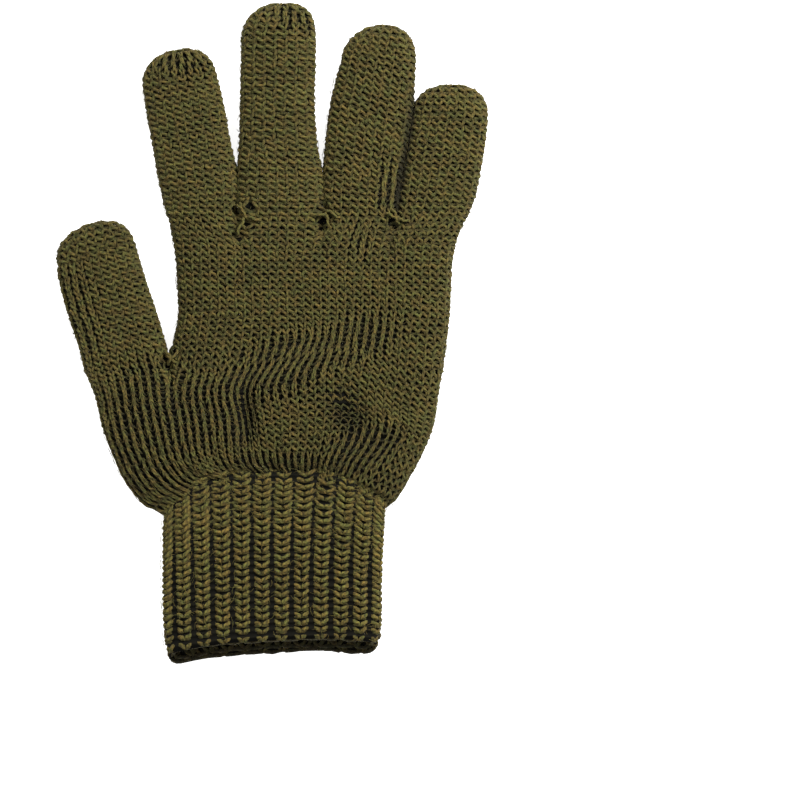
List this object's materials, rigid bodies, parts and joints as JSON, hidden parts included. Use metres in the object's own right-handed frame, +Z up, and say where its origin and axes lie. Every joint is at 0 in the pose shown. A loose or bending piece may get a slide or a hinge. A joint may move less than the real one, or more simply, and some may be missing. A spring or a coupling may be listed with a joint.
{
  "type": "knitted glove",
  "caption": "Plain-knit wool glove lying flat, with closed fingertips, a thumb knitted as its own tube and a ribbed cuff whose mouth is open.",
  "frame": {"origin": "centre of the bounding box, on the underside that lies on the table", "axes": "+Y from the cuff to the fingertips, +Z up through the flat glove, thumb on the -X side"},
  "size_m": [0.1594, 0.2465, 0.0164],
  "materials": {
    "plain_knit_wool": "matt, slightly fuzzy",
    "ribbed_knit_wool": "matt, slightly fuzzy"
  },
  "bodies": {
    "root": {"hand": "plain_knit_wool", "cuff": "ribbed_knit_wool", "thumb": "plain_knit_wool", "index_finger": "plain_knit_wool", "middle_finger": "plain_knit_wool", "ring_finger": "plain_knit_wool", "little_finger": "plain_knit_wool"}
  },
  "joints": []
}
